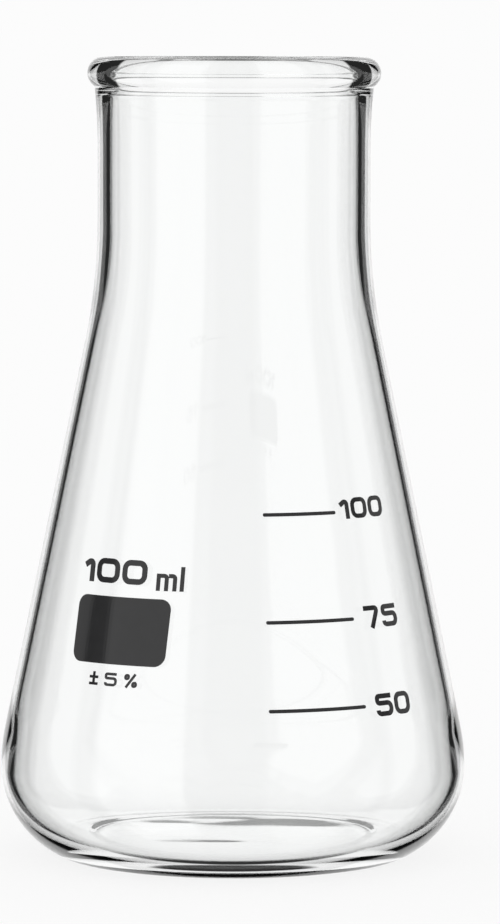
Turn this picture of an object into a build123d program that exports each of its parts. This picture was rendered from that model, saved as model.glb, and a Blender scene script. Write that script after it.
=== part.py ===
from build123d import *
from dataclasses import dataclass
import math
import os

# Conical laboratory flask of blown glass, 100 ml, wide neck, with printed marks.
# Millimetres and degrees. +Z is up and the origin is where the axis meets the bench.
# The printed marks face -Y, and azimuths are counted from there towards +X.

# Outside of the glass
total_height = 105.0
body_diameter = 61.3
widest_level = 11.8
lower_curve = 24.5
neck_diameter = 35.8
neck_length = 20.9
shoulder_curve = 81.0

# Foot ring that it stands on, its rounded edge, and the recess pressed up inside it
foot_diameter = 44.4
foot_width = 2.6
toe_curve = 3.3
punt_rise = 0.5
punt_slope = 2.0

# Inside of the glass, where the wall is thick at the neck and the heel and thin on the cone
neck_wall = 1.6
cone_wall = 1.0
heel_wall = 1.6
floor_wall = 1.8
inner_shoulder_curve = 47.5
inner_lower_curve = 63.5

# Rolled bead round the mouth, and the neck's slight flare below it
bead_diameter = 38.5
bead_radius = 2.1
bead_undercut = 56.0
flare_length = 11.7
lip_depth = 2.7

# Fired enamel marks: a label panel on one side and three filling lines on the other
enamel = 0.1
panel_width = 14.1
panel_height = 8.5
panel_corner = 1.4
panel_azimuth = -33.0
panel_level = 32.0
line_width = 0.45
line_start = 9.0
line_sweeps = {50: 26.8, 75: 26.3, 100: 24.1}

os.makedirs("parts", exist_ok=True)


@dataclass(frozen=True)
class Side:
    """One side of the glass seen in section: a curve, the straight cone, the shoulder and the neck.

    The cone is the straight line that touches both curves, so it follows any change in them.
    """

    neck: float
    shoulder_level: float
    shoulder: float
    widest: float
    widest_at: float
    lower: float

    @property
    def shoulder_centre(self) -> Vector:
        return Vector(self.neck + self.shoulder, self.shoulder_level)

    @property
    def lower_centre(self) -> Vector:
        return Vector(self.widest - self.lower, self.widest_at)

    @property
    def lean(self) -> float:
        """Angle between the cone and the axis."""
        span = self.shoulder_centre - self.lower_centre
        reach = (self.shoulder + self.lower) / math.hypot(span.X, span.Y)
        return math.degrees(math.atan2(span.Y, span.X) - math.acos(reach))

    def grown(self, by: float) -> "Side":
        """The same side moved outwards by an even thickness."""
        return Side(
            self.neck + by,
            self.shoulder_level,
            self.shoulder - by,
            self.widest + by,
            self.widest_at,
            self.lower + by,
        )

    def lined(self, at_neck: float, at_cone: float, at_heel: float, shoulder: float, lower: float) -> "Side":
        """The inside of this side, with a wall of its own at the neck, the cone and the heel.

        Its cone is parallel to this one, and its two curves move along the axis until they touch it.
        """
        square = Vector(math.cos(math.radians(self.lean)), math.sin(math.radians(self.lean)))
        cone = self.lower_centre.dot(square) + self.lower - at_cone
        neck = self.neck - at_neck
        widest = self.widest - at_heel
        shoulder_level = (cone + shoulder - (neck + shoulder) * square.X) / square.Y
        widest_at = (cone - lower - (widest - lower) * square.X) / square.Y
        return Side(neck, shoulder_level, shoulder, widest, widest_at, lower)

    def radius_at(self, level: float) -> float:
        """Radius of the straight cone at a level."""
        lean = math.radians(self.lean)
        touch = self.lower_centre + Vector(math.cos(lean), math.sin(lean)) * self.lower
        return touch.X - (level - touch.Y) * math.tan(lean)

    def draw(self, top: float) -> None:
        """Adds the side to the line being built, from its widest ring up to the level of top."""
        low = CenterArc(self.lower_centre, self.lower, 0, self.lean)
        high = CenterArc(self.shoulder_centre, self.shoulder, 180, self.lean)
        Line(low @ 1, high @ 1)
        Line(high @ 0, (self.neck, top))


bead_centre = Vector(bead_diameter / 2 - bead_radius, total_height - bead_radius)
flare_level = total_height - flare_length
lip_level = total_height - lip_depth
floor_level = punt_rise + floor_wall

outside = Side(
    neck_diameter / 2,
    total_height - neck_length,
    shoulder_curve,
    body_diameter / 2,
    widest_level,
    lower_curve,
)
inside = outside.lined(neck_wall, cone_wall, heel_wall, inner_shoulder_curve, inner_lower_curve)


def draw_bend(flat: Vector, upright: Vector, tight: float) -> None:
    """Draws two touching arcs that leave flat level and arrive at upright plumb.

    The arc at the end of the shorter leg has the tight radius, and the other arc's radius follows.
    """
    across = upright.X - flat.X
    rise = upright.Y - flat.Y
    short, long = sorted([abs(across), abs(rise)])
    wide = (short**2 + long**2 - 2 * long * tight) / (2 * (short - tight))
    at_flat, at_upright = (tight, wide) if abs(rise) > abs(across) else (wide, tight)
    flat_centre = Vector(flat.X, flat.Y + math.copysign(at_flat, rise))
    upright_centre = Vector(upright.X - math.copysign(at_upright, across), upright.Y)
    centres = [flat_centre, upright_centre] if at_flat < at_upright else [upright_centre, flat_centre]
    meeting = centres[1] + (centres[0] - centres[1]).normalized() * wide
    TangentArc(flat, meeting, tangent=(across, 0))
    TangentArc(upright, meeting, tangent=(0, -rise))


def draw_inner_wall() -> None:
    """Draws the inside of the glass from the middle of the floor up to where the lip opens."""
    heel_curve = inside.widest_at - floor_level
    heel = CenterArc((inside.widest - heel_curve, inside.widest_at), heel_curve, -90, 90)
    Line((0, floor_level), heel @ 0)
    inside.draw(lip_level)


# The glass, blown in one piece
with BuildPart() as flask:
    with BuildSketch(Plane.XZ):
        with BuildLine():
            foot_edge = foot_diameter / 2
            foot_inside = foot_edge - foot_width
            Polyline(
                (0, floor_level),
                (0, punt_rise),
                (foot_inside - punt_slope, punt_rise),
                (foot_inside, 0),
                (foot_edge, 0),
            )
            draw_bend(Vector(foot_edge, 0), Vector(outside.widest, widest_level), toe_curve)
            outside.draw(flare_level)
            bead = CenterArc(bead_centre, bead_radius, -bead_undercut, 90 + bead_undercut)
            TangentArc((outside.neck, flare_level), bead @ 0, tangent=(0, 1))
            lip_width = bead_centre.X - inside.neck
            EllipticalCenterArc((bead_centre.X, lip_level), lip_width, lip_depth, 90, arc_size=90)
            draw_inner_wall()
        make_face()
    revolve(axis=Axis.Z)

# The space inside it, which only serves to find how high each volume fills it
with BuildPart() as contents:
    with BuildSketch(Plane.XZ):
        with BuildLine():
            draw_inner_wall()
            Polyline((inside.neck, lip_level), (0, lip_level), (0, floor_level))
        make_face()
    revolve(axis=Axis.Z)


def filling_level(millilitres: float) -> float:
    """Level that a volume of liquid reaches, found by halving."""
    low = floor_level
    high = lip_level
    while high - low > 0.01:
        level = (low + high) / 2
        filled = contents.part.split(Plane.XY.offset(level), keep=Keep.BOTTOM)
        if filled.volume < millilitres * 1000:
            low = level
        else:
            high = level
    return (low + high) / 2


def facing(azimuth: float, level: float) -> Plane:
    """Upright plane through the axis at a level, looking out along an azimuth."""
    turn = math.radians(azimuth)
    return Plane(
        origin=(0, 0, level),
        x_dir=(math.cos(turn), math.sin(turn), 0),
        z_dir=(math.sin(turn), -math.cos(turn), 0),
    )


def draw_coat() -> None:
    """Draws the section of a coat of enamel that lies on the outside of the glass."""
    coat = outside.grown(enamel)
    outside.draw(flare_level)
    coat.draw(flare_level)
    Line((outside.widest, widest_level), (coat.widest, widest_level))
    Line((outside.neck, flare_level), (coat.neck, flare_level))


# Printed panel for writing on, a rounded rectangle
with BuildPart() as marking_spot:
    with BuildSketch(Plane.XZ):
        with BuildLine():
            draw_coat()
        make_face()
    revolve(axis=Axis.Z)
    with BuildSketch(facing(panel_azimuth, panel_level)):
        RectangleRounded(panel_width, panel_height, panel_corner)
    extrude(amount=body_diameter, mode=Mode.INTERSECT)

# Filling lines, each at the level that its volume reaches
filling_lines = []
for volume, sweep in line_sweeps.items():
    line_level = filling_level(volume)
    line_length = 2 * outside.radius_at(line_level) * math.sin(math.radians(sweep / 2))
    with BuildPart() as filling_line:
        with BuildSketch(Plane.XZ):
            with BuildLine():
                draw_coat()
            make_face()
        revolve(axis=Axis.Z)
        with BuildSketch(facing(line_start + sweep / 2, line_level)):
            SlotOverall(line_length, line_width)
        extrude(amount=body_diameter, mode=Mode.INTERSECT)
    filling_line.part.label = f"graduation_{volume}"
    filling_lines.append(filling_line.part)
    print(f"{filling_line.part.label}: level {line_level:.2f}")

flask.part.label = "flask"
marking_spot.part.label = "marking_spot"

for piece in [flask.part, marking_spot.part, *filling_lines]:
    export_step(piece, f"parts/{piece.label}.step")
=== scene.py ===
"""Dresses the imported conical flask: clear blown glass, fired enamel print and a pale studio."""

import logging
import math
from collections.abc import Iterator
from dataclasses import dataclass, field
from enum import Enum

import bmesh
import bpy
from mathutils import Euler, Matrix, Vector, noise

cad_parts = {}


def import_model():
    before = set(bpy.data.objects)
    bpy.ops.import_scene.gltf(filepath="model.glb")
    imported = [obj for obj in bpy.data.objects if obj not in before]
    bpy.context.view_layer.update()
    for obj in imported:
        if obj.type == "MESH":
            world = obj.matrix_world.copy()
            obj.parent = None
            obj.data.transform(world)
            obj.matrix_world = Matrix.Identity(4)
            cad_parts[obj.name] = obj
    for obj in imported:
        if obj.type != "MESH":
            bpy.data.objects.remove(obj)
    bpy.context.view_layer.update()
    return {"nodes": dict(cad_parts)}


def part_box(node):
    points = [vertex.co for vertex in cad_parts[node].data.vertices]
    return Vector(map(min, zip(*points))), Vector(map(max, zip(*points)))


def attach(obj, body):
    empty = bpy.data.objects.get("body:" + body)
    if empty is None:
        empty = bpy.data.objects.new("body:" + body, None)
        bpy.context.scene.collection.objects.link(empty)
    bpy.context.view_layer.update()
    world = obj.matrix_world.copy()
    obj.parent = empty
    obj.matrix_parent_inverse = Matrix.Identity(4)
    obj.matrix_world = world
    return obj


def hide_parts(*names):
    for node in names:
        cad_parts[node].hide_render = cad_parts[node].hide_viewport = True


logging.basicConfig(level=logging.INFO, format="%(message)s")
log = logging.getLogger("flask")

MM = 0.001
BODY = "root"
WHITE = (1.0, 1.0, 1.0, 1.0)

# Steps shorter than this are dropped, and points nearer to the axis lie on it, in metres
SHORTEST_STEP = 1e-7
ON_AXIS = 1e-6

# Largest turn between two points of a sign's rounded corner
CORNER_TURN = math.radians(15)


class Slot(Enum):
    """The material slots of the record."""

    GLASS = "glass"
    ENAMEL = "enamel"


class Anchor(Enum):
    """Which point of a word stands at its place, as a share of the word's width."""

    LEFT = 0.0
    CENTRE = 0.5
    RIGHT = 1.0


def smooth_step(low: float, high: float, value: float) -> float:
    """Rises smoothly from 0 at low to 1 at high."""
    share = min(max((value - low) / (high - low), 0.0), 1.0)
    return share * share * (3.0 - 2.0 * share)


def new_piece(name: str, shape: bmesh.types.BMesh, finish: bpy.types.Material) -> bpy.types.Object:
    """Makes a smooth-shaded object from a mesh under construction.

    Args:
        name: The piece's name.
        shape: Its mesh, in metres. It is freed here.
        finish: The material that covers all of it.

    Returns:
        The new object, linked to the scene.
    """
    bmesh.ops.recalc_face_normals(shape, faces=shape.faces)
    mesh = bpy.data.meshes.new(name)
    shape.to_mesh(mesh)
    shape.free()
    mesh.shade_smooth()
    mesh.materials.append(finish)
    piece = bpy.data.objects.new(name, mesh)
    bpy.context.scene.collection.objects.link(piece)
    return piece


def hand_over(piece: bpy.types.Object, slot: Slot, *replaced: str) -> None:
    """Lets a finished piece ride on the flask's body and stand for the CAD nodes that it replaces."""
    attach(piece, BODY)
    if replaced:
        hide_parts(*replaced)
    log.info("%s: %d faces", piece.name, len(piece.data.polygons))


@dataclass(frozen=True)
class GlassFinish:
    """Clear borosilicate glass with a fire-polished skin.

    Attributes:
        ior: Refractive index.
        tint: Colour that the light takes in passing through a surface.
        gloss_loss: Roughness of the skin.
        ripple: Depth of the faint ripples left by blowing, in metres.
        ripple_scale: Ripples in a metre.
        drawn_out: How close they lie along the axis, as a share of how close they lie round it.
    """

    ior: float = 1.473
    tint: tuple[float, float, float] = (0.995, 1.0, 0.998)
    gloss_loss: float = 0.0
    ripple: float = 0.004 * MM
    ripple_scale: float = 90.0
    drawn_out: float = 0.12

    def material(self) -> bpy.types.Material:
        """Builds the material.

        Returns:
            A node material with procedural ripples.
        """
        material = bpy.data.materials.new("clear_glass")
        material.use_nodes = True
        tree = material.node_tree
        shader = tree.nodes["Principled BSDF"]
        shader.inputs["Transmission Weight"].default_value = 1.0
        shader.inputs["Roughness"].default_value = self.gloss_loss
        shader.inputs["IOR"].default_value = self.ior
        shader.inputs["Base Color"].default_value = (*self.tint, 1.0)
        place = tree.nodes.new("ShaderNodeTexCoord")
        stretch = tree.nodes.new("ShaderNodeMapping")
        stretch.inputs["Scale"].default_value = (1.0, 1.0, self.drawn_out)
        ripples = tree.nodes.new("ShaderNodeTexNoise")
        ripples.inputs["Scale"].default_value = self.ripple_scale
        ripples.inputs["Detail"].default_value = 2.0
        bump = tree.nodes.new("ShaderNodeBump")
        bump.inputs["Strength"].default_value = 1.0
        bump.inputs["Distance"].default_value = self.ripple
        tree.links.new(place.outputs["Object"], stretch.inputs["Vector"])
        tree.links.new(stretch.outputs["Vector"], ripples.inputs["Vector"])
        tree.links.new(ripples.outputs["Fac"], bump.inputs["Height"])
        tree.links.new(bump.outputs["Normal"], shader.inputs["Normal"])
        return material


@dataclass(frozen=True)
class EnamelFinish:
    """Black enamel fired on to the glass, glossy, with a faint unevenness of its coat.

    Attributes:
        dark: Colour where the coat is thick.
        thin: Colour where the coat is thin.
        ior: Refractive index.
        roughness: Roughness of its gloss, low and high.
        patches: Uneven patches in a metre.
        grain: Depth of its grain, in metres.
        grain_scale: Grains in a metre.
    """

    dark: tuple[float, float, float] = (0.004, 0.004, 0.0045)
    thin: tuple[float, float, float] = (0.010, 0.010, 0.011)
    ior: float = 1.5
    roughness: tuple[float, float] = (0.05, 0.12)
    patches: float = 700.0
    grain: float = 0.002 * MM
    grain_scale: float = 9000.0

    def material(self) -> bpy.types.Material:
        """Builds the material.

        Returns:
            A node material with an uneven coat and a fine grain.
        """
        material = bpy.data.materials.new("black_enamel")
        material.use_nodes = True
        tree = material.node_tree
        shader = tree.nodes["Principled BSDF"]
        shader.inputs["IOR"].default_value = self.ior
        place = tree.nodes.new("ShaderNodeTexCoord")
        coat = tree.nodes.new("ShaderNodeTexNoise")
        coat.inputs["Scale"].default_value = self.patches
        coat.inputs["Detail"].default_value = 3.0
        shade = tree.nodes.new("ShaderNodeMix")
        shade.data_type = "RGBA"
        shade.inputs["A"].default_value = (*self.dark, 1.0)
        shade.inputs["B"].default_value = (*self.thin, 1.0)
        gloss = tree.nodes.new("ShaderNodeMapRange")
        gloss.inputs["To Min"].default_value = self.roughness[0]
        gloss.inputs["To Max"].default_value = self.roughness[1]
        grain = tree.nodes.new("ShaderNodeTexNoise")
        grain.inputs["Scale"].default_value = self.grain_scale
        bump = tree.nodes.new("ShaderNodeBump")
        bump.inputs["Distance"].default_value = self.grain
        tree.links.new(place.outputs["Object"], coat.inputs["Vector"])
        tree.links.new(place.outputs["Object"], grain.inputs["Vector"])
        tree.links.new(coat.outputs["Fac"], shade.inputs["Factor"])
        tree.links.new(shade.outputs["Result"], shader.inputs["Base Color"])
        tree.links.new(coat.outputs["Fac"], gloss.inputs["Value"])
        tree.links.new(gloss.outputs["Result"], shader.inputs["Roughness"])
        tree.links.new(grain.outputs["Fac"], bump.inputs["Height"])
        tree.links.new(bump.outputs["Normal"], shader.inputs["Normal"])
        return material


def square_to(lean: float) -> Vector:
    """Unit vector that stands square to a line leaning from the axis by an angle."""
    return Vector((math.cos(lean), math.sin(lean)))


@dataclass(frozen=True)
class Side:
    """One side of the glass in section, in metres: low curve, straight cone, shoulder and neck.

    Attributes:
        neck: Radius of the neck.
        shoulder_level: Level where the shoulder's curve turns into the neck.
        shoulder: Radius of the shoulder's curve.
        widest: Largest radius of the body.
        widest_at: Level of the largest radius.
        lower: Radius of the low curve.
    """

    neck: float
    shoulder_level: float
    shoulder: float
    widest: float
    widest_at: float
    lower: float

    @property
    def shoulder_centre(self) -> Vector:
        """Centre of the shoulder's curve."""
        return Vector((self.neck + self.shoulder, self.shoulder_level))

    @property
    def lower_centre(self) -> Vector:
        """Centre of the low curve."""
        return Vector((self.widest - self.lower, self.widest_at))

    @property
    def lean(self) -> float:
        """Angle between the cone and the axis, in radians."""
        span = self.shoulder_centre - self.lower_centre
        return math.atan2(span.y, span.x) - math.acos((self.shoulder + self.lower) / span.length)

    def lined(self, at_neck: float, at_cone: float, at_heel: float, shoulder: float, drop: float) -> "Side":
        """Gives the inside of this side, with a wall of its own at the neck, the cone and the heel.

        Args:
            at_neck: Wall at the neck.
            at_cone: Wall at the cone.
            at_heel: Wall at the widest ring.
            shoulder: Radius of the inside's shoulder.
            drop: How much lower the inside is widest.

        Returns:
            The inside, with its cone parallel to this one.
        """
        square = square_to(self.lean)
        cone = self.lower_centre.dot(square) + self.lower - at_cone
        neck = self.neck - at_neck
        shoulder_level = (cone + shoulder - (neck + shoulder) * square.x) / square.y
        widest = Vector((self.widest - at_heel, self.widest_at - drop))
        lower = (cone - widest.dot(square)) / (1.0 - square.x)
        return Side(neck, shoulder_level, shoulder, widest.x, widest.y, lower)

    def radius_at(self, level: float) -> float:
        """Radius at a level between the widest ring and the neck."""
        if level >= self.shoulder_level:
            return self.neck
        lean = self.lean
        high = self.shoulder_level - self.shoulder * math.sin(lean)
        low = self.widest_at + self.lower * math.sin(lean)
        if level >= high:
            drop = self.shoulder_level - level
            return self.neck + self.shoulder - math.sqrt(self.shoulder**2 - drop**2)
        if level <= low:
            return self.widest - self.lower + math.sqrt(self.lower**2 - (level - self.widest_at) ** 2)
        touch = self.lower_centre + square_to(lean) * self.lower
        return touch.x - (level - touch.y) * math.tan(lean)


@dataclass
class Section:
    """A line in the section of the glass, drawn from the axis outwards as points of radius and level.

    Attributes:
        fine: Largest turn between two points of a curve, in radians.
        stride: Largest step along a straight stretch, in metres.
        points: The points so far.
    """

    fine: float = math.radians(2.5)
    stride: float = 1.2 * MM
    points: list[Vector] = field(default_factory=list)

    def line_to(self, radius: float, level: float) -> None:
        """Adds a straight stretch up to a point."""
        end = Vector((radius, level))
        if not self.points:
            self.points.append(end)
            return
        start = self.points[-1]
        length = (end - start).length
        if length < SHORTEST_STEP:
            return
        steps = max(1, math.ceil(length / self.stride))
        self.points += [start.lerp(end, step / steps) for step in range(1, steps + 1)]

    def arc(self, centre: Vector, across: float, up: float, start: float, end: float) -> None:
        """Adds a quarter or another stretch of a circle or an ellipse.

        Args:
            centre: Its centre.
            across: Its radius across the axis.
            up: Its radius along the axis.
            start: Angle at its start, in degrees.
            end: Angle at its end, in degrees.
        """
        begin, finish = math.radians(start), math.radians(end)
        sweep = abs(finish - begin)
        steps = max(2, math.ceil(sweep / self.fine), math.ceil(sweep * across / self.stride))
        first = centre + Vector((across * math.cos(begin), up * math.sin(begin)))
        self.line_to(first.x, first.y)
        for step in range(1, steps + 1):
            angle = begin + (finish - begin) * step / steps
            self.points.append(centre + Vector((across * math.cos(angle), up * math.sin(angle))))

    def bend(self, flat: Vector, upright: Vector, tight: float) -> None:
        """Adds a heel: a tight arc that leaves flat level, then a wide one that is plumb at its end.

        Args:
            flat: Where it starts.
            upright: Where it ends.
            tight: Radius of the tight arc. The wide one follows.
        """
        run, climb = upright - flat
        wide = (run**2 + climb**2 - 2 * climb * tight) / (2 * (run - tight))
        tight_centre = Vector((flat.x, flat.y + tight))
        wide_centre = Vector((upright.x - wide, upright.y))
        reach = tight_centre - wide_centre
        meeting = math.degrees(math.atan2(reach.y, reach.x))
        self.arc(tight_centre, tight, tight, -90.0, meeting)
        self.arc(wide_centre, wide, wide, meeting, 0.0)

    def side(self, side: Side, top: float) -> None:
        """Adds a side of the glass from its widest ring up to a level."""
        lean = math.degrees(side.lean)
        self.arc(side.lower_centre, side.lower, side.lower, 0.0, lean)
        self.arc(side.shoulder_centre, side.shoulder, side.shoulder, 180.0 + lean, 180.0)
        self.line_to(side.neck, top)


@dataclass(frozen=True)
class Swirl:
    """A low ridge that blowing left under the floor, in metres.

    Attributes:
        x: Place of its middle, to the right.
        y: Place of its middle, to the back.
        length: Half its length.
        width: Half its width.
        height: How high it stands.
    """

    x: float
    y: float
    length: float
    width: float
    height: float

    def rise(self, x: float, y: float) -> float:
        """How high it stands at a point."""
        along, across = (x - self.x) / self.length, (y - self.y) / self.width
        return self.height * math.exp(-0.5 * (along**2 + across**2))


@dataclass
class FlaskGlass:
    """The flask itself, blown in one piece. All sizes are in metres and all angles in degrees.

    Attributes:
        finish: The glass.
        total_height: Height from the bench to the top of the bead.
        body_diameter: Largest diameter of the body.
        widest_level: Level of the largest diameter.
        lower_curve: Radius of the curve between the largest diameter and the cone.
        neck_diameter: Diameter of the neck.
        neck_length: From the top of the bead down to where the shoulder starts.
        shoulder_curve: Radius of the shoulder.
        foot_diameter: Diameter of the ring that it stands on.
        foot_width: Width of that ring.
        toe_curve: Radius of the ring's rounded edge.
        punt_rise: Depth of the recess inside the ring.
        punt_edge: Where the recess rises from the ring, as shares of its radius.
        neck_wall: Wall at the neck.
        cone_wall: Wall at the cone.
        heel_wall: Wall at the largest diameter.
        floor_wall: Thickness of the floor.
        floor_rings: Number of rings of faces in the floor.
        floor_ripple: Depth of the floor's ripples.
        floor_flow: Ripples in a metre to the right, to the back and upwards.
        floor_drift: Where in the noise the ripples are taken from.
        calm_edge: Where ripples and swirls die out, as shares of the foot's radius.
        swirls: The ridges under the floor.
        inner_shoulder_curve: Radius of the shoulder's inside.
        inner_widest_drop: How much lower the inside is widest.
        inner_floor_inset: How far the floor's inside ends within the foot's edge.
        inner_toe_curve: Radius of the floor's inner edge.
        bead_overhang: How far the bead stands out from the neck.
        bead_radius: Radius of the bead.
        bead_undercut: Angle below the level where the bead leaves the neck.
        flare_length: From the top of the bead down to where the neck starts to flare.
        lip_depth: How far down the mouth's rounding reaches inside.
        columns: Number of faces round the glass.
    """

    finish: bpy.types.Material
    total_height: float = 105.0 * MM
    body_diameter: float = 61.3 * MM
    widest_level: float = 11.8 * MM
    lower_curve: float = 24.5 * MM
    neck_diameter: float = 35.8 * MM
    neck_length: float = 20.9 * MM
    shoulder_curve: float = 81.0 * MM
    foot_diameter: float = 44.4 * MM
    foot_width: float = 2.6 * MM
    toe_curve: float = 3.3 * MM
    punt_rise: float = 0.3 * MM
    punt_edge: tuple[float, float] = (0.9, 1.0)
    neck_wall: float = 1.6 * MM
    cone_wall: float = 1.2 * MM
    heel_wall: float = 1.6 * MM
    floor_wall: float = 1.6 * MM
    floor_rings: int = 40
    floor_ripple: float = 0.03 * MM
    floor_flow: tuple[float, float, float] = (90.0, 260.0, 500.0)
    floor_drift: float = 3.0
    calm_edge: tuple[float, float] = (0.5, 0.85)
    swirls: tuple[Swirl, ...] = (
        Swirl(6.0 * MM, 4.5 * MM, 6.5 * MM, 3.6 * MM, 0.26 * MM),
        Swirl(-2.5 * MM, 13.5 * MM, 3.6 * MM, 1.6 * MM, 0.10 * MM),
        Swirl(-9.5 * MM, 8.0 * MM, 2.4 * MM, 1.6 * MM, 0.06 * MM),
        Swirl(-3.0 * MM, -9.5 * MM, 4.5 * MM, 1.5 * MM, 0.08 * MM),
    )
    inner_shoulder_curve: float = 47.5 * MM
    inner_widest_drop: float = 0.3 * MM
    inner_floor_inset: float = 0.3 * MM
    inner_toe_curve: float = 1.8 * MM
    bead_overhang: float = 1.35 * MM
    bead_radius: float = 2.1 * MM
    bead_undercut: float = 56.0
    flare_length: float = 11.7 * MM
    lip_depth: float = 2.7 * MM
    columns: int = 360

    @property
    def outside(self) -> Side:
        """The outside of the glass."""
        return Side(
            self.neck_diameter / 2,
            self.total_height - self.neck_length,
            self.shoulder_curve,
            self.body_diameter / 2,
            self.widest_level,
            self.lower_curve,
        )

    @property
    def inside(self) -> Side:
        """The inside of the glass."""
        return self.outside.lined(
            self.neck_wall,
            self.cone_wall,
            self.heel_wall,
            self.inner_shoulder_curve,
            self.inner_widest_drop,
        )

    def section(self) -> list[Vector]:
        """Draws half of the flask's section.

        Returns:
            Points of radius and level from the middle of the underside, round the outside and the lip, to
            the middle of the floor.
        """
        outside, inside = self.outside, self.inside
        line = Section()
        foot_edge = self.foot_diameter / 2
        foot_inside = foot_edge - self.foot_width
        for step in range(self.floor_rings + 1):
            share = step / self.floor_rings
            level = self.punt_rise * (1.0 - smooth_step(*self.punt_edge, share))
            line.line_to(foot_inside * share, level)
        line.line_to(foot_edge, 0.0)
        widest = Vector((outside.widest, outside.widest_at))
        line.bend(Vector((foot_edge, 0.0)), widest, self.toe_curve)
        flare_level = self.total_height - self.flare_length
        line.side(outside, flare_level)
        bead_edge = outside.neck + self.bead_overhang
        bead_centre = Vector((bead_edge - self.bead_radius, self.total_height - self.bead_radius))
        crease = bead_centre + square_to(-math.radians(self.bead_undercut)) * self.bead_radius
        flare_run, flare_climb = crease.x - outside.neck, crease.y - flare_level
        flare = (flare_run**2 + flare_climb**2) / (2 * flare_run)
        flare_end = 180.0 - math.degrees(math.asin(flare_climb / flare))
        line.arc(Vector((outside.neck + flare, flare_level)), flare, flare, 180.0, flare_end)
        line.arc(bead_centre, self.bead_radius, self.bead_radius, -self.bead_undercut, 90.0)
        lip_level = self.total_height - self.lip_depth
        lip_centre = Vector((bead_centre.x, lip_level))
        line.arc(lip_centre, bead_centre.x - inside.neck, self.lip_depth, 90.0, 180.0)
        inner = Section()
        floor_level = self.punt_rise + self.floor_wall
        floor_edge = Vector((foot_edge - self.inner_floor_inset, floor_level))
        for step in range(self.floor_rings + 1):
            inner.line_to(floor_edge.x * step / self.floor_rings, floor_level)
        inner.bend(floor_edge, Vector((inside.widest, inside.widest_at)), self.inner_toe_curve)
        inner.side(inside, lip_level)
        return line.points + inner.points[::-1][1:]

    def place(self, point: Vector, turn: float) -> Vector:
        """Puts a point of the section at a turn round the axis, with the floor's ripples and swirls.

        Args:
            point: Radius and level.
            turn: Angle round the axis, in radians.

        Returns:
            The point in space.
        """
        spot = Vector((point.x * math.cos(turn), point.x * math.sin(turn), point.y))
        calm = 1.0 - smooth_step(*self.calm_edge, point.x / (self.foot_diameter / 2))
        if point.y < self.widest_level / 2:
            right, back, up = self.floor_flow
            flow = Vector((spot.x * right, spot.y * back, spot.z * up + self.floor_drift))
            spot.z += noise.noise(flow) * self.floor_ripple * calm
            if point.y < self.punt_rise + self.floor_wall / 2:
                spot.z += sum(swirl.rise(spot.x, spot.y) for swirl in self.swirls) * calm
        return spot

    def build(self) -> bpy.types.Object:
        """Revolves the section.

        Returns:
            The finished piece, which replaces the plain CAD flask.
        """
        shape = bmesh.new()
        turns = [math.tau / self.columns * column for column in range(self.columns)]
        rings: list[list[bmesh.types.BMVert]] = []
        for point in self.section():
            if point.x < ON_AXIS:
                rings.append([shape.verts.new(self.place(point, 0.0))])
            else:
                rings.append([shape.verts.new(self.place(point, turn)) for turn in turns])
        for low, high in zip(rings, rings[1:]):
            for column in range(self.columns):
                after = (column + 1) % self.columns
                if len(low) == 1:
                    shape.faces.new((low[0], high[after], high[column]))
                elif len(high) == 1:
                    shape.faces.new((low[column], low[after], high[0]))
                else:
                    shape.faces.new((low[column], low[after], high[after], high[column]))
        piece = new_piece("flask_glass", shape, self.finish)
        hand_over(piece, Slot.GLASS, "flask")
        return piece


@dataclass(frozen=True)
class Ribbon:
    """A patch of print between two edges, as pairs of points across and up, in metres.

    Attributes:
        pairs: The left and right edge point of each station along the ribbon.
        closed: Whether the last station joins the first.
        across: Number of faces between the two edges.
    """

    pairs: tuple[tuple[Vector, Vector], ...]
    closed: bool = False
    across: int = 1


def rounded_path(corners: list[tuple[float, float, float]], closed: bool = False) -> list[Vector]:
    """Rounds the corners of a path.

    Args:
        corners: Points as across, up and the radius of the corner there. The ends' radii aren't used.
        closed: Whether the path returns to its start.

    Returns:
        The points of the rounded path.
    """
    count = len(corners)
    path: list[Vector] = []
    for index, (across, up, radius) in enumerate(corners):
        here = Vector((across, up))
        if not closed and index in (0, count - 1):
            path.append(here)
            continue
        back = (Vector(corners[index - 1][:2]) - here).normalized()
        ahead = (Vector(corners[(index + 1) % count][:2]) - here).normalized()
        inner = back.angle(ahead)
        turn = math.pi - inner
        setback = radius / math.tan(inner / 2)
        centre = here + (back + ahead).normalized() * (radius / math.sin(inner / 2))
        steps = max(3, math.ceil(turn / CORNER_TURN))
        first = here + back * setback - centre
        way = -math.copysign(1.0, back.x * ahead.y - back.y * ahead.x)
        for step in range(steps + 1):
            angle = way * turn * step / steps
            cosine, sine = math.cos(angle), math.sin(angle)
            right = first.x * cosine - first.y * sine
            rise = first.x * sine + first.y * cosine
            path.append(centre + Vector((right, rise)))
    return path


def stroked(path: list[Vector], width: float, closed: bool = False) -> Ribbon:
    """Turns a path into a stroke of an even width.

    Args:
        path: Its middle line.
        width: Its width.
        closed: Whether the path returns to its start.

    Returns:
        The stroke as a ribbon.
    """
    pairs = []
    count = len(path)
    for index, here in enumerate(path):
        before = path[index - 1] if closed or index else here
        after = path[(index + 1) % count] if closed or index < count - 1 else here
        along = (after - before).normalized()
        side = Vector((-along.y, along.x)) * width / 2
        pairs.append((here + side, here - side))
    return Ribbon(tuple(pairs), closed)


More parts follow.
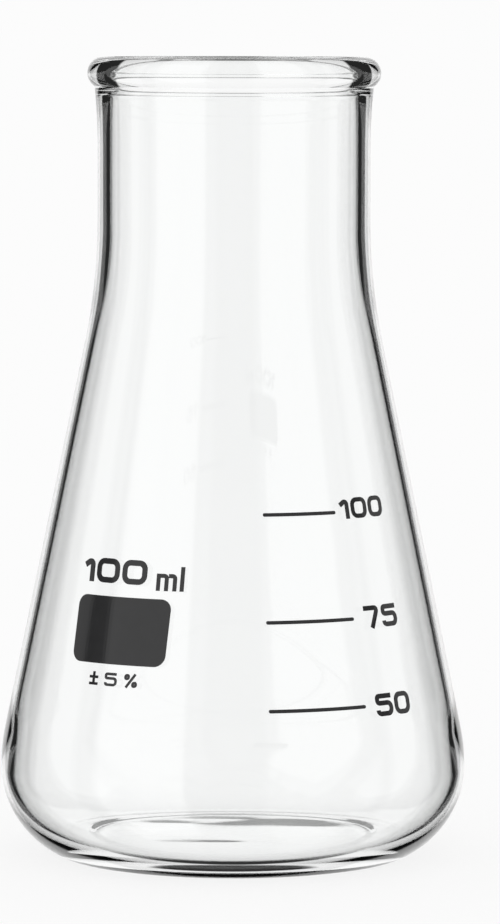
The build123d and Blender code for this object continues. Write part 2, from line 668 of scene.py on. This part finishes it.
@dataclass(frozen=True)
class Alphabet:
    """Wide rounded-square signs drawn with one pen, on a height of 1.

    Attributes:
        pen: Width of the pen.
        wide: Width of a round figure.
        bend: Radius of the pen's line at a round corner.
        space: Width of an empty sign.
    """

    pen: float = 0.2
    wide: float = 1.12
    bend: float = 0.26
    space: float = 0.35

    @property
    def tight(self) -> float:
        """Smallest radius that the pen's line can turn with."""
        return self.pen * 0.55

    def ring(self, left: float, low: float, right: float, high: float, bend: float) -> Ribbon:
        """Draws a rounded box with its outer edges at the given places."""
        half = self.pen / 2
        corners = [
            (left + half, low + half, bend),
            (right - half, low + half, bend),
            (right - half, high - half, bend),
            (left + half, high - half, bend),
        ]
        return stroked(rounded_path(corners, closed=True), self.pen, closed=True)

    def line(self, *corners: tuple[float, float, float]) -> Ribbon:
        """Draws an open line through rounded corners."""
        return stroked(rounded_path(list(corners)), self.pen)

    def sign(self, name: str) -> tuple[list[Ribbon], float]:
        """Draws one sign.

        Args:
            name: The sign.

        Returns:
            Its ribbons and its width.
        """
        half, wide, tight, bend = self.pen / 2, self.wide, self.tight, self.bend
        if name == "0":
            return [self.ring(0.0, 0.0, wide, 1.0, bend)], wide
        if name == "1":
            stem = 0.48
            flag = self.line((half * 0.7, 0.66, 0.0), (stem, 1.0 - half * 0.7, tight), (stem, 0.0, 0.0))
            return [flag], stem + half
        if name == "5":
            middle = 0.58
            figure = self.line(
                (wide - 0.08, 1.0 - half, 0.0),
                (half, 1.0 - half, tight),
                (half, middle, tight),
                (wide - half, middle, bend * 0.8),
                (wide - half, half, bend * 0.8),
                (half, half, bend * 0.6),
                (half, 0.27, 0.0),
            )
            return [figure], wide
        if name == "7":
            right = wide * 0.92
            figure = self.line(
                (0.0, 1.0 - half, 0.0),
                (right - half, 1.0 - half, tight),
                (right * 0.42, 0.0, 0.0),
            )
            return [figure], right
        if name == "m":
            tall, gap = 0.7, 0.36
            ribbons = [self.line((half, 0.0, 0.0), (half, tall, 0.0))]
            for stem in (half, half + gap):
                arch = self.line(
                    (stem + half, tall - half, 0.0),
                    (stem + gap, tall - half, tight * 1.2),
                    (stem + gap, 0.0, 0.0),
                )
                ribbons.append(arch)
            return ribbons, 2 * gap + self.pen
        if name == "l":
            return [self.line((half, 0.0, 0.0), (half, 1.0, 0.0))], self.pen
        if name == "±":
            across, level = 0.8, 0.6
            ribbons = [
                self.line((0.0, level, 0.0), (across, level, 0.0)),
                self.line((across / 2, level + half, 0.0), (across / 2, 1.0, 0.0)),
                self.line((across / 2, level - half, 0.0), (across / 2, 2 * level - 1.0, 0.0)),
                self.line((0.0, half, 0.0), (across, half, 0.0)),
            ]
            return ribbons, across
        if name == "%":
            small = 0.46
            ribbons = [
                self.ring(0.0, 1.0 - small, small, 1.0, tight),
                self.ring(wide - small, 0.0, wide, small, tight),
                self.line((wide * 0.18, 0.0, 0.0), (wide * 0.82, 1.0, 0.0)),
            ]
            return ribbons, wide
        return [], self.space


@dataclass(frozen=True)
class Word:
    """A line of signs at its place on the glass.

    Attributes:
        name: The piece's name.
        signs: What it says.
        height: Height of its figures, in metres.
        azimuth: Where it stands round the glass, in degrees from the front towards +X.
        level: Level of its foot, in metres.
        anchor: Which point of it stands at the azimuth.
        alphabet: The signs' shapes.
        spacing: Room between two signs, as a share of the height.
    """

    name: str
    signs: str
    height: float
    azimuth: float
    level: float
    anchor: Anchor = Anchor.CENTRE
    alphabet: Alphabet = Alphabet()
    spacing: float = 0.14

    def ribbons(self) -> list[Ribbon]:
        """Sets the signs side by side.

        Returns:
            The ribbons, in metres across from the anchor and up from the foot.
        """
        drawn = [self.alphabet.sign(sign) for sign in self.signs]
        total = sum(width for _, width in drawn) + self.spacing * (len(drawn) - 1)
        left = -total * self.anchor.value
        ribbons = []
        for shapes, width in drawn:
            for shape in shapes:
                pairs = tuple(
                    (
                        Vector(((left + a.x) * self.height, a.y * self.height)),
                        Vector(((left + b.x) * self.height, b.y * self.height)),
                    )
                    for a, b in shape.pairs
                )
                ribbons.append(Ribbon(pairs, shape.closed, shape.across))
            left += width + self.spacing
        return ribbons


@dataclass(frozen=True)
class Filling:
    """A filling line and the numeral beside it, in metres and degrees.

    Attributes:
        volume: What the numeral says, in millilitres.
        sweep: Length of the line round the glass.
        numeral_height: Height of the numeral.
        numeral_azimuth: Where the numeral's middle stands, from the front towards +X.
        numeral_rise: How far the numeral's foot stands above the line.
    """

    volume: str
    sweep: float
    numeral_height: float
    numeral_azimuth: float
    numeral_rise: float


@dataclass
class EnamelPrint:
    """The fired print: a panel to write on, three filling lines, their numerals and the captions.

    Attributes:
        glass: The outside that carries it.
        finish: The enamel.
        coat: How far it stands proud of the glass.
        bite: How far it is melted into the glass.
        panel_azimuth: Where the panel's middle stands round the glass, in degrees.
        panel_corner: Radius of the panel's corners.
        panel_corner_faces: Number of rows of faces in a corner.
        panel_width: Width of the panel.
        panel_faces: Number of faces across the panel.
        line_azimuth: Where the filling lines start, in degrees.
        line_faces: Number of faces along a filling line.
        line_end_faces: Number of faces in a filling line's rounded end.
        fillings: The filling lines, from the lowest.
        figures: The numerals' shapes.
        captions: The captions, which stand on their own.
    """

    glass: Side
    finish: bpy.types.Material
    coat: float = 0.09 * MM
    bite: float = 0.03 * MM
    panel_azimuth: float = -33.0
    panel_corner: float = 1.4 * MM
    panel_corner_faces: int = 8
    panel_width: float = 14.1 * MM
    panel_faces: int = 28
    line_azimuth: float = 9.0
    line_faces: int = 24
    line_end_faces: int = 6
    fillings: tuple[Filling, ...] = (
        Filling("50", 26.8, 2.85 * MM, 45.3, -1.42 * MM),
        Filling("75", 26.3, 2.85 * MM, 45.5, -1.35 * MM),
        Filling("100", 24.1, 2.65 * MM, 43.9, -0.9 * MM),
    )
    figures: Alphabet = Alphabet(pen=0.215, wide=1.02)
    captions: tuple[Word, ...] = (
        Word("volume_caption", "100", 3.1 * MM, -25.5, 37.9 * MM, Anchor.RIGHT, Alphabet(0.235, 1.18)),
        Word("unit_caption", "ml", 3.1 * MM, -22.4, 37.3 * MM, Anchor.LEFT, Alphabet(0.17, 1.12)),
        Word("tolerance_caption", "± 5 %", 1.7 * MM, -33.0, 25.0 * MM),
    )

    def on_glass(
        self, point: Vector, proud: float, azimuth: float, level: float
    ) -> tuple[float, float, float]:
        """Puts a point of the print on the glass.

        Args:
            point: Its place across and up.
            proud: How far it stands out of the glass.
            azimuth: Where the print's zero stands round the glass, in degrees.
            level: The level of the print's zero.

        Returns:
            Its place in space.
        """
        height = level + point.y
        radius = self.glass.radius_at(height)
        turn = math.radians(azimuth) + math.asin(point.x / radius)
        radius += proud / math.cos(self.glass.lean)
        return radius * math.sin(turn), -radius * math.cos(turn), height

    def lay(self, shape: bmesh.types.BMesh, ribbon: Ribbon, azimuth: float, level: float) -> None:
        """Lays a ribbon on the glass as a closed coat.

        Args:
            shape: The mesh that takes it.
            ribbon: The ribbon, in metres across and up.
            azimuth: Where its zero stands round the glass, in degrees.
            level: The level of its zero.
        """
        skins = []
        for proud in (self.coat, -self.bite):
            skin = []
            for left, right in ribbon.pairs:
                row = []
                for step in range(ribbon.across + 1):
                    spot = left.lerp(right, step / ribbon.across)
                    row.append(shape.verts.new(self.on_glass(spot, proud, azimuth, level)))
                skin.append(row)
            skins.append(skin)
        front, back = skins
        count = len(ribbon.pairs)
        spans = [(i, (i + 1) % count) for i in range(count if ribbon.closed else count - 1)]
        for here, there in spans:
            for step in range(ribbon.across):
                for skin in skins:
                    shape.faces.new(
                        (skin[here][step], skin[there][step], skin[there][step + 1], skin[here][step + 1])
                    )
            for edge in (0, -1):
                shape.faces.new((front[here][edge], front[there][edge], back[there][edge], back[here][edge]))
        if not ribbon.closed:
            for end in (0, -1):
                for step in range(ribbon.across):
                    shape.faces.new(
                        (front[end][step], front[end][step + 1], back[end][step + 1], back[end][step])
                    )

    def finish_piece(
        self, name: str, ribbons: list[Ribbon], azimuth: float, level: float, *replaced: str
    ) -> None:
        """Makes one piece of print from its ribbons and hands it over.

        Args:
            name: The piece's name.
            ribbons: Its ribbons, in metres across and up.
            azimuth: Where their zero stands round the glass, in degrees.
            level: The level of their zero.
            replaced: The CAD nodes that it stands for.
        """
        shape = bmesh.new()
        for ribbon in ribbons:
            self.lay(shape, ribbon, azimuth, level)
        piece = new_piece(name, shape, self.finish)
        piece.data.shade_flat()
        hand_over(piece, Slot.ENAMEL, *replaced)

    def rounded_bar(self, height: float) -> Ribbon:
        """Draws the panel's rounded rectangle from its foot to its top, about its middle.

        Args:
            height: Its height.

        Returns:
            The rectangle as an upright ribbon.
        """
        corner = self.panel_corner
        stations = []
        for step in range(self.panel_corner_faces + 1):
            angle = math.pi / 2 * step / self.panel_corner_faces
            up = -height / 2 + corner * (1 - math.cos(angle))
            stations.append((up, corner * (1 - math.sin(angle))))
        stations += [(-up, inset) for up, inset in stations[::-1]]
        pairs = []
        for up, inset in stations:
            half = self.panel_width / 2 - inset
            pairs.append((Vector((-half, up)), Vector((half, up))))
        return Ribbon(tuple(pairs), across=self.panel_faces)

    def build_panel(self) -> None:
        """Builds the panel in the place of its CAD node."""
        low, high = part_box("marking_spot")
        panel = self.rounded_bar(high.z - low.z)
        level = (low.z + high.z) / 2
        self.finish_piece("marking_panel", [panel], self.panel_azimuth, level, "marking_spot")

    def build_line(self, volume: str, sweep: float) -> None:
        """Builds one filling line in the place of its CAD node.

        Args:
            volume: The volume that it marks.
            sweep: Its length round the glass, in degrees.
        """
        low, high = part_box(f"graduation_{volume}")
        level, width = (low.z + high.z) / 2, high.z - low.z
        half = self.glass.radius_at(level) * math.sin(math.radians(sweep / 2))
        stations = []
        for step in range(1, self.line_end_faces + 1):
            angle = math.pi / 2 * step / self.line_end_faces
            stations.append((-half + width / 2 * (1 - math.cos(angle)), width / 2 * math.sin(angle)))
        ends = [(-across, tall) for across, tall in stations[::-1]]
        for step in range(1, self.line_faces):
            across = -half + (half * 2 - width) * step / self.line_faces + width / 2
            stations.append((across, width / 2))
        stations += ends
        pairs = tuple((Vector((across, tall)), Vector((across, -tall))) for across, tall in stations)
        azimuth = self.line_azimuth + sweep / 2
        line = [Ribbon(pairs)]
        self.finish_piece(f"filling_line_{volume}", line, azimuth, level, f"graduation_{volume}")

    def words(self) -> Iterator[Word]:
        """Lists the numerals and the captions."""
        for filling in self.fillings:
            volume = filling.volume
            low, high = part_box(f"graduation_{volume}")
            yield Word(
                name=f"numeral_{volume}",
                signs=volume,
                height=filling.numeral_height,
                azimuth=filling.numeral_azimuth,
                level=(low.z + high.z) / 2 + filling.numeral_rise,
                alphabet=self.figures,
            )
        yield from self.captions

    def build(self) -> None:
        """Builds every piece of the print."""
        self.build_panel()
        for filling in self.fillings:
            self.build_line(filling.volume, filling.sweep)
        for word in self.words():
            self.finish_piece(word.name, word.ribbons(), word.azimuth, word.level)


@dataclass(frozen=True)
class Panel:
    """A lit or dark stretch of the studio round the camera, in degrees.

    Attributes:
        left: Its left edge, from straight ahead towards the right.
        right: Its right edge.
        low: Its lower edge above the camera's own level.
        high: Its upper edge.
        glow: Its brightness.
        soft: Width of its blurred edge.
    """

    left: float
    right: float
    low: float
    high: float
    glow: float
    soft: float

    def cover(self, azimuth: float, elevation: float) -> float:
        """How much of it lies in a direction, from 0 to 1."""
        middle, reach = (self.left + self.right) / 2, (self.right - self.left) / 2
        away = abs((azimuth - middle + 180.0) % 360.0 - 180.0)
        across = 1.0 - smooth_step(reach - self.soft, reach + self.soft, away)
        up = smooth_step(self.low - self.soft, self.low + self.soft, elevation)
        down = 1.0 - smooth_step(self.high - self.soft, self.high + self.soft, elevation)
        return across * up * down


@dataclass
class Studio:
    """A white room for product pictures: floor, backdrop, dark flags, softboxes and the camera.

    Attributes:
        white: Brightness of the backdrop and the floor.
        floor_share: How much of the floor's brightness is light that things can shade.
        pitch: How far the camera looks down, in degrees.
        yaw: How far it looks to the left, in degrees.
        roll: How far it is tilted, in degrees.
        lens: Its focal length, in millimetres.
        sensor: Width of its sensor, in millimetres.
        nearest: How near it sees, in metres.
        eye: Where it stands.
        floor_size: Half the length of the floor's sides, in metres.
        tent_radius: Distance of the panels from the camera, in metres.
        tent_steps: Number of faces round the tent and from its foot to its top.
        room: Brightness between the panels.
        panels: The panels, each in front of those before it.
    """

    white: float = 0.973
    floor_share: float = 0.12
    pitch: float = 4.8526
    yaw: float = -0.171
    roll: float = -0.13
    lens: float = 203.1
    sensor: float = 36.0
    nearest: float = 0.05
    eye: Vector = field(default_factory=lambda: Vector((0.0, -684.8 * MM, 109.9 * MM)))
    floor_size: float = 40.0
    tent_radius: float = 50.0
    tent_steps: tuple[int, int] = (240, 120)
    room: float = 0.02
    panels: tuple[Panel, ...] = (
        Panel(-200.0, 200.0, -120.0, -60.0, 0.25, 8.0),
        Panel(90.0, 270.0, -80.0, 80.0, 0.45, 12.0),
        Panel(59.5, 92.0, -50.0, 50.0, 0.85, 1.5),
        Panel(-92.0, -59.5, -50.0, 50.0, 0.85, 1.5),
        Panel(-23.5, 23.5, -40.0, 40.0, 0.973, 1.5),
        Panel(-155.0, -106.0, -60.0, 60.0, 1.25, 1.5),
        Panel(100.0, 163.0, -60.0, 60.0, 0.75, 2.5),
    )

    def build_camera(self) -> bpy.types.Object:
        """Sets up the camera at the photograph's viewing angle.

        Returns:
            The camera.
        """
        data = bpy.data.cameras.new("camera")
        data.lens = self.lens
        data.sensor_width = self.sensor
        data.clip_start = self.nearest
        camera = bpy.data.objects.new("camera", data)
        camera.location = self.eye
        turns = (90.0 - self.pitch, self.roll, self.yaw)
        camera.rotation_euler = Euler([math.radians(turn) for turn in turns], "XYZ")
        bpy.context.scene.collection.objects.link(camera)
        bpy.context.scene.camera = camera
        return camera

    def glow(self, azimuth: float, elevation: float) -> float:
        """Brightness of the studio in a direction, in degrees from straight ahead."""
        value = self.room
        for panel in self.panels:
            value += (panel.glow - value) * panel.cover(azimuth, elevation)
        return value

    def build_tent(self, camera: bpy.types.Object) -> None:
        """Hangs the studio's panels round the camera, far enough away to act as soft light.

        Args:
            camera: The camera that carries them.
        """
        shape = bmesh.new()
        around, upwards = self.tent_steps
        bmesh.ops.create_uvsphere(shape, u_segments=around, v_segments=upwards, radius=self.tent_radius)
        mesh = bpy.data.meshes.new("studio_tent")
        shape.to_mesh(mesh)
        shape.free()
        tones = mesh.attributes.new("glow", "FLOAT", "POINT")
        for vertex, tone in zip(mesh.vertices, tones.data):
            way = vertex.co.normalized()
            azimuth = math.degrees(math.atan2(way.x, -way.z))
            elevation = math.degrees(math.asin(max(-1.0, min(1.0, way.y))))
            tone.value = self.glow(azimuth, elevation)
        material = bpy.data.materials.new("studio_light")
        material.use_nodes = True
        tree = material.node_tree
        tree.nodes.clear()
        reader = tree.nodes.new("ShaderNodeAttribute")
        reader.attribute_name = "glow"
        emitter = tree.nodes.new("ShaderNodeEmission")
        output = tree.nodes.new("ShaderNodeOutputMaterial")
        tree.links.new(reader.outputs["Fac"], emitter.inputs["Strength"])
        tree.links.new(emitter.outputs["Emission"], output.inputs["Surface"])
        mesh.materials.append(material)
        tent = bpy.data.objects.new("studio_tent", mesh)
        bpy.context.scene.collection.objects.link(tent)
        tent.parent = camera
        tent.visible_camera = False
        tent.visible_diffuse = False
        tent.visible_shadow = False
        tent.visible_volume_scatter = False

    def build_floor(self) -> None:
        """Lays the pale floor."""
        shape = bmesh.new()
        bmesh.ops.create_grid(shape, x_segments=1, y_segments=1, size=self.floor_size)
        mesh = bpy.data.meshes.new("floor")
        shape.to_mesh(mesh)
        shape.free()
        material = bpy.data.materials.new("pale_floor")
        material.use_nodes = True
        shader = material.node_tree.nodes["Principled BSDF"]
        shader.inputs["Base Color"].default_value = (self.floor_share,) * 3 + (1.0,)
        shader.inputs["Roughness"].default_value = 1.0
        shader.inputs["Specular IOR Level"].default_value = 0.0
        shader.inputs["Emission Color"].default_value = WHITE
        shader.inputs["Emission Strength"].default_value = self.white * (1.0 - self.floor_share)
        mesh.materials.append(material)
        floor = bpy.data.objects.new("floor", mesh)
        bpy.context.scene.collection.objects.link(floor)
        floor.visible_transmission = False
        floor.visible_glossy = False
        floor.visible_shadow = False

    def build_sky(self) -> None:
        """Lights the room evenly."""
        world = bpy.data.worlds.new("studio")
        world.use_nodes = True
        background = world.node_tree.nodes["Background"]
        background.inputs["Color"].default_value = WHITE
        background.inputs["Strength"].default_value = self.white
        bpy.context.scene.world = world
        bpy.context.scene.view_settings.view_transform = "Standard"

    def build(self) -> None:
        """Builds the whole studio."""
        camera = self.build_camera()
        self.build_tent(camera)
        self.build_floor()
        self.build_sky()
        log.info("studio: camera %.0f mm from the axis", abs(self.eye.y) / MM)


def main() -> None:
    """Builds the flask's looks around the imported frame."""
    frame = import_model()
    log.info("frame: %d nodes", len(frame["nodes"]))
    glass = FlaskGlass(GlassFinish().material())
    glass.build()
    EnamelPrint(glass.outside, EnamelFinish().material()).build()
    Studio().build()


if __name__ == "__main__":
    main()
